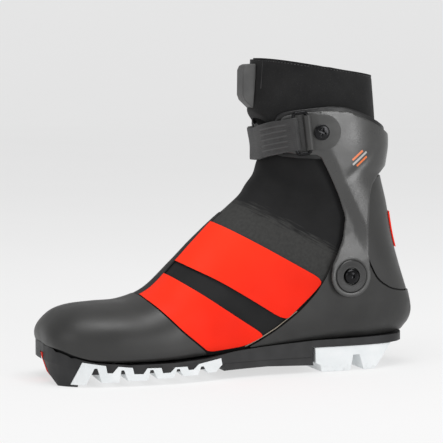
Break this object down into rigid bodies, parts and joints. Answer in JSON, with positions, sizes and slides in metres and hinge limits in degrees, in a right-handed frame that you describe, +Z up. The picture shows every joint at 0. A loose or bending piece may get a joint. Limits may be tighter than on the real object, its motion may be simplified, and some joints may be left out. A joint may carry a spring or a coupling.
{
  "type": "cross country ski boot",
  "caption": "Skating boot, left foot: soft upper with welded panels, hinged ankle cuff with strap and ring, stiff sole with light treads and a toe bar for a ski binding.",
  "frame": {"origin": "on the ground under the middle of the boot's bounding box", "axes": "toe towards -X, heel towards +X, outer (lateral) side -Y, inner (medial) side +Y, +Z up"},
  "size_m": [0.3026, 0.0977, 0.2419],
  "materials": {
    "black_fabric": "matte",
    "neoprene": "matte",
    "charcoal_film": "satin",
    "counter": "satin",
    "red_film": "satin",
    "cuff_plastic": "satin",
    "liner": "soft satin",
    "foam": "matte",
    "sole_black": "satin",
    "tread_white": "satin",
    "toe_red": "gloss",
    "steel": "satin",
    "dark_metal": "satin",
    "webbing": "woven",
    "anchor": "satin",
    "tab": "soft satin",
    "zip": "satin"
  },
  "bodies": {
    "boot": {"ankle_sleeve": "black_fabric", "arch_bridge": "sole_black", "binding_bar": "steel", "forefoot_tread": "tread_white", "heel_counter": "counter", "heel_panel": "charcoal_film", "heel_tab": "red_film", "heel_tread": "tread_white", "insole": "foam", "instep_cover": "black_fabric", "lasting_board": "foam", "pivot_bolt_lateral": "dark_metal", "pivot_bolt_medial": "dark_metal", "pivot_nut_lateral": "steel", "pivot_nut_medial": "steel", "red_panel_lower_lateral": "red_film", "red_panel_lower_medial": "red_film", "red_panel_upper_lateral": "red_film", "red_panel_upper_medial": "red_film", "sole_chassis": "sole_black", "toe_cap": "charcoal_film", "toe_insert": "toe_red", "tongue": "black_fabric", "upper": "black_fabric", "zip_chain": "zip"},
    "cuff": {"cuff_shell": "cuff_plastic", "cuff_liner": "liner", "rear_pad": "foam", "collar": "neoprene", "collar_tab": "tab", "pivot_washer_lateral": "cuff_plastic", "pivot_washer_medial": "cuff_plastic", "pivot_bushing_lateral": "steel", "pivot_bushing_medial": "steel", "strap": "webbing", "strap_anchor": "anchor", "anchor_screw": "dark_metal", "strap_rivet": "dark_metal"},
    "ring": {"strap_ring": "dark_metal"},
    "tail": {"strap_tail": "webbing"},
    "slider": {"zip_slider": "dark_metal"},
    "puller": {"zip_puller": "tab"}
  },
  "joints": [
    {"name": "cuff_flex", "type": "hinge", "parent": "boot", "child": "cuff", "pos_m": [0.08516, 0, 0.075], "axis": [0, -1, 0], "range_deg": [-5, 16], "stiffness_Nm_per_rad": 3, "deforming": ["ankle_sleeve"]},
    {"name": "ring_hinge", "type": "hinge", "parent": "cuff", "child": "ring", "pos_m": [0.04827, -0.04533, 0.1865], "axis": [-0.1183, 0.0295, 0.9925], "range_deg": [0, 22]},
    {"name": "tail_peel", "type": "hinge", "parent": "ring", "child": "tail", "pos_m": [0.0383, -0.04223, 0.18522], "axis": [-0.1183, 0.0295, 0.9925], "range_deg": [0, 60]},
    {"name": "zip_slide", "type": "slide", "parent": "boot", "child": "slider", "axis": [-0.7192, 0, -0.6948], "range_m": [0, 0.04]},
    {"name": "puller_hinge", "type": "hinge", "parent": "slider", "child": "puller", "pos_m": [-0.00193, 0.03321, 0.11357], "axis": [0.5899, 0.5283, -0.6107], "range_deg": [0, 150]}
  ]
}
